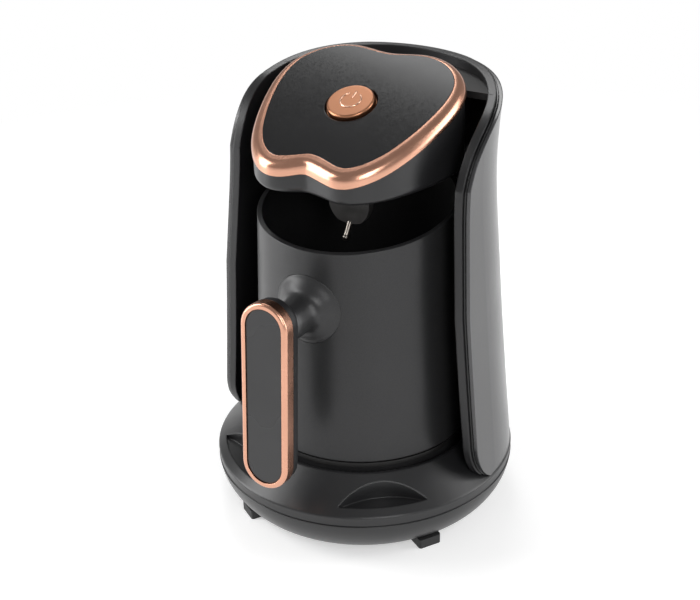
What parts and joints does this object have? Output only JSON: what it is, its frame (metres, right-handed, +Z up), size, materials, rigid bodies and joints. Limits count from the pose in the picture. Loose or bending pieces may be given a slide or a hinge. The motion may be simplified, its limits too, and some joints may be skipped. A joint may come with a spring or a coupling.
{
  "type": "electric coffee maker",
  "caption": "Electric maker for pot-brewed coffee, with a round hot-plate base, a wrap-round rear shroud, a head with a power button, and a lift-out pot.",
  "frame": {"origin": "centre of the round base, on the surface that the feet stand on", "axes": "+Z up, -Y is the front, where the pot's handle points, +X is the machine's left as seen from behind"},
  "size_m": [0.1398, 0.1554, 0.2064],
  "materials": {
    "shell_black": "satin moulded",
    "gloss_black": "high gloss",
    "shroud_side": "semi gloss",
    "inner_black": "fine texture",
    "rose_gold": "satin plated, rose gold",
    "pot_black": "satin non-stick coating",
    "grip_grey": "satin",
    "plate_metal": "coated, matt",
    "steel": "brushed",
    "chrome": "polished",
    "rubber": "matt",
    "silicone": "satin",
    "board_green": "solder mask",
    "component_blue": "moulded",
    "white_plastic": "moulded",
    "wire_red": "insulated wire"
  },
  "bodies": {
    "housing": {"base_housing": "shell_black", "base_cover": "shell_black", "rubber_feet": "rubber", "base_screws": "steel", "hot_plate": "plate_metal", "plate_seal": "rubber", "heating_element": "steel", "thermostat": "white_plastic", "thermal_fuse": "chrome", "power_board": "board_green", "relay": "component_blue", "terminal_block": "white_plastic", "inner_shell": "shell_black", "edge_trim": "gloss_black", "outer_shell": "shroud_side", "shroud_screws": "steel", "head_body": "shell_black", "head_underside": "inner_black", "underside_screws": "steel", "head_panel": "gloss_black", "panel_trim": "rose_gold", "neck_housing": "inner_black", "top_deck": "inner_black", "button_spring": "steel", "button_switch": "inner_black", "control_board": "board_green", "board_screws": "steel", "buzzer": "inner_black", "sensor_flap": "silicone", "sensor_probe": "chrome", "wire_channel": "inner_black", "wire_loom": "wire_red", "cord_grommet": "rubber"},
    "button": {"power_button": "rose_gold"},
    "pot": {"pot_body": "pot_black", "pot_foot_ring": "inner_black", "handle_neck": "pot_black", "handle_body": "shell_black", "handle_screw": "steel", "handle_trim": "rose_gold", "handle_inlay": "grip_grey"}
  },
  "joints": [
    {"name": "button_press", "type": "slide", "parent": "housing", "child": "button", "axis": [0, 0.3694, -0.9293], "range_m": [0, 0.0015], "stiffness_N_per_m": 400, "springref_m": -0.001, "deforming": ["button_spring"]},
    {"name": "pot_slide", "type": "slide", "parent": "housing", "child": "pot", "axis": [0, -0.9986, 0.0523], "range_m": [0, 0.125], "deforming": ["sensor_flap", "sensor_probe"]}
  ]
}
